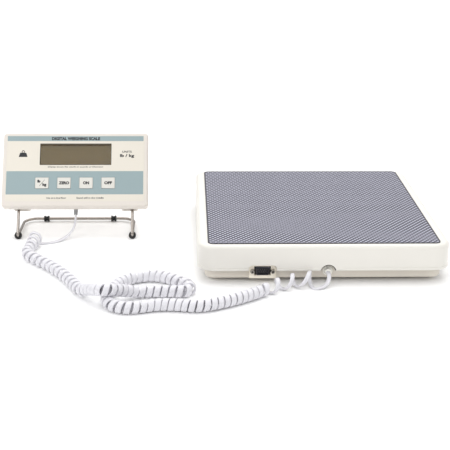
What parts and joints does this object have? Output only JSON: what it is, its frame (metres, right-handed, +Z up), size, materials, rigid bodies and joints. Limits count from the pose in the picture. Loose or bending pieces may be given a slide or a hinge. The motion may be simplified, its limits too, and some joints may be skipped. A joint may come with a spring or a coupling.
{
  "type": "weighing scale",
  "caption": "Low square weighing platform with a textured mat, wired by a curly cord to a small keyed display on a bent-wire stand.",
  "frame": {"origin": "on the floor, midway between the left edge of the display head and the right edge of the platform, and at the middle of the platform from front to back", "axes": "+X to the right as the user reads the display, +Y away from the user, +Z up"},
  "size_m": [0.576, 0.41, 0.1319],
  "materials": {
    "cover_plastic": "moulded ivory plastic, fine satin gloss",
    "tray_plastic": "moulded plastic, slightly darker than the cover",
    "bezel_plastic": "cream moulded plastic",
    "mat_rubber": "grey-blue textured vinyl mat",
    "steel_plate": "plain sheet steel",
    "cast_alloy": "die-cast alloy",
    "cell_steel": "nickel-plated steel",
    "screw_steel": "zinc-plated steel",
    "foot_rubber": "black rubber",
    "port_metal": "nickel-plated shell",
    "port_black": "dark blue-black moulding",
    "contact_gold": "gold-plated contacts",
    "jack_metal": "nickel-plated hexagons",
    "bushing_white": "white moulded bushing",
    "board_green": "circuit board",
    "spacer_nylon": "nylon",
    "chip_black": "components",
    "wire_skin": "wire insulation",
    "stand_chrome": "bright chrome-plated wire",
    "stand_rubber": "black rubber",
    "cord_white": "white flexible cord jacket",
    "head_plastic": "ivory moulded plastic",
    "overlay_print": "printed polyester sheet",
    "lens_clear": "clear window",
    "lcd_grey": "liquid crystal module",
    "key_white": "white key caps",
    "cell_jacket": "plain battery jacket",
    "spring_metal": "nickel-plated contact",
    "gland_grey": "grey moulded gland",
    "clip_plastic": "ivory moulded clip"
  },
  "bodies": {
    "base": {"base_tray": "tray_plastic", "base_foot_front_left": "foot_rubber", "base_foot_front_right": "foot_rubber", "base_foot_rear_left": "foot_rubber", "base_foot_rear_right": "foot_rubber", "load_cell_front_left": "cell_steel", "load_cell_front_right": "cell_steel", "load_cell_rear_left": "cell_steel", "load_cell_rear_right": "cell_steel", "cell_screws": "screw_steel", "serial_bezel": "bezel_plastic", "port_shell": "port_metal", "port_insulator": "port_black", "port_pins": "contact_gold", "port_flange": "port_metal", "jack_screws": "jack_metal", "cord_bushing": "bushing_white", "main_board": "board_green", "board_spacers": "spacer_nylon", "board_screws": "screw_steel", "board_parts": "chip_black", "cell_wires": "wire_skin", "wire_stand": "stand_chrome", "stand_foot_left": "stand_rubber", "stand_foot_right": "stand_rubber", "bar_grommet_left": "stand_rubber", "bar_grommet_right": "stand_rubber", "cord_lead": "cord_white", "cord_coil": "cord_white", "cord_tail": "cord_white"},
    "platform_top": {"platform_cover": "cover_plastic", "platform_mat": "mat_rubber", "support_plate": "steel_plate", "load_posts": "cast_alloy"},
    "display_head": {"front_shell": "head_plastic", "overlay_panel": "overlay_print", "window_lens": "lens_clear", "lcd_module": "lcd_grey", "display_board": "board_green", "key_switches": "chip_black", "board_pillars": "spacer_nylon", "display_board_screws": "screw_steel", "rear_shell": "head_plastic", "shell_screws": "screw_steel", "battery_tub": "head_plastic", "batteries": "cell_jacket", "battery_contacts": "spring_metal", "head_gland": "gland_grey", "stand_clip_left": "clip_plastic", "stand_clip_right": "clip_plastic"},
    "key_unit": {"key_unit": "key_white"},
    "key_zero": {"key_zero": "key_white"},
    "key_on": {"key_on": "key_white"},
    "key_off": {"key_off": "key_white"},
    "battery_door": {"battery_door": "head_plastic"}
  },
  "joints": [
    {"name": "platform_load", "type": "slide", "parent": "base", "child": "platform_top", "axis": [0, 0, 1], "range_m": [-0.0008, 0], "stiffness_N_per_m": 50000, "springref_m": 0.0006},
    {"name": "display_tilt", "type": "hinge", "parent": "base", "child": "display_head", "pos_m": [-0.18895, 0.02192, 0.03904], "axis": [1, 0, 0], "range_deg": [-12, 20], "deforming": ["cord_lead"]},
    {"name": "key_unit_press", "type": "slide", "parent": "display_head", "child": "key_unit", "axis": [0, 0.8295, -0.5585], "range_m": [0, 0.0005], "stiffness_N_per_m": 1500, "springref_m": -0.0004},
    {"name": "key_zero_press", "type": "slide", "parent": "display_head", "child": "key_zero", "axis": [0, 0.8295, -0.5585], "range_m": [0, 0.0005], "stiffness_N_per_m": 1500, "springref_m": -0.0004},
    {"name": "key_on_press", "type": "slide", "parent": "display_head", "child": "key_on", "axis": [0, 0.8295, -0.5585], "range_m": [0, 0.0005], "stiffness_N_per_m": 1500, "springref_m": -0.0004},
    {"name": "key_off_press", "type": "slide", "parent": "display_head", "child": "key_off", "axis": [0, 0.8295, -0.5585], "range_m": [0, 0.0005], "stiffness_N_per_m": 1500, "springref_m": -0.0004},
    {"name": "battery_door_swing", "type": "hinge", "parent": "display_head", "child": "battery_door", "pos_m": [-0.18895, 0.05224, 0.04442], "axis": [-1, 0, 0], "range_deg": [0, 75]}
  ]
}
